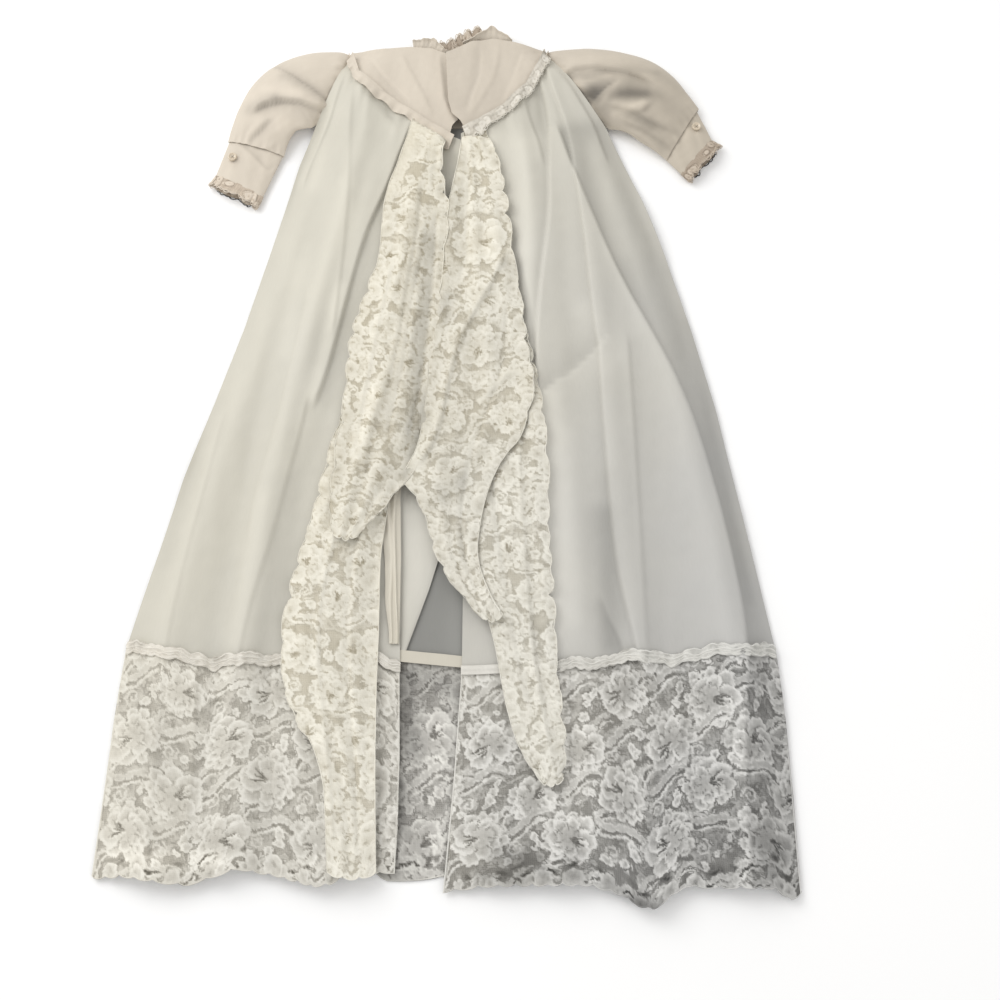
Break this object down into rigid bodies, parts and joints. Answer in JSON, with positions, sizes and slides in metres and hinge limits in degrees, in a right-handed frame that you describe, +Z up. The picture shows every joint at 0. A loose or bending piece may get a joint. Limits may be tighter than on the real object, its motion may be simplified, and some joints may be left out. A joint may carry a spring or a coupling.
{
  "type": "christening gown",
  "caption": "Long open-front baby gown laid flat, with puffed sleeves, gathered skirt, front lace ruffles and a deep lace hem.",
  "frame": {"origin": "on the floor, under the middle of the gown's box", "axes": "+X towards the gown's left sleeve, on the viewer's right, +Y up the gown to its neck, +Z up from the floor"},
  "size_m": [0.6306, 0.9014, 0.0318],
  "materials": {
    "skirt_cloth": "soft ivory plain weave with a faint sheen",
    "yoke_cloth": "ivory plain weave, warmer with age",
    "lace": "cream floral lace on fine net",
    "aged_lace": "narrow lace, browned with age",
    "satin_band": "smooth cream band",
    "button": "small pearly button"
  },
  "bodies": {
    "root": {"back_skirt": "skirt_cloth", "back_yoke": "yoke_cloth", "back_lace": "lace", "back_hem_band": "satin_band", "neck_lace": "aged_lace", "front_skirt_left": "skirt_cloth", "front_skirt_right": "skirt_cloth", "hem_lace_left": "lace", "hem_lace_right": "lace", "hem_heading_left": "lace", "hem_heading_right": "lace", "front_yoke_left": "yoke_cloth", "front_yoke_right": "yoke_cloth", "yoke_lace_left": "lace", "yoke_lace_right": "lace", "collar_left": "yoke_cloth", "collar_right": "yoke_cloth", "placket_left": "satin_band", "sleeve_left": "yoke_cloth", "sleeve_right": "yoke_cloth", "cuff_left": "yoke_cloth", "cuff_right": "yoke_cloth", "cuff_lace_left": "aged_lace", "cuff_lace_right": "aged_lace", "button_left": "button", "button_right": "button", "ruffle_left_outer": "lace", "ruffle_left_inner": "lace", "ruffle_right_outer": "lace", "ruffle_right_inner": "lace"}
  },
  "joints": []
}
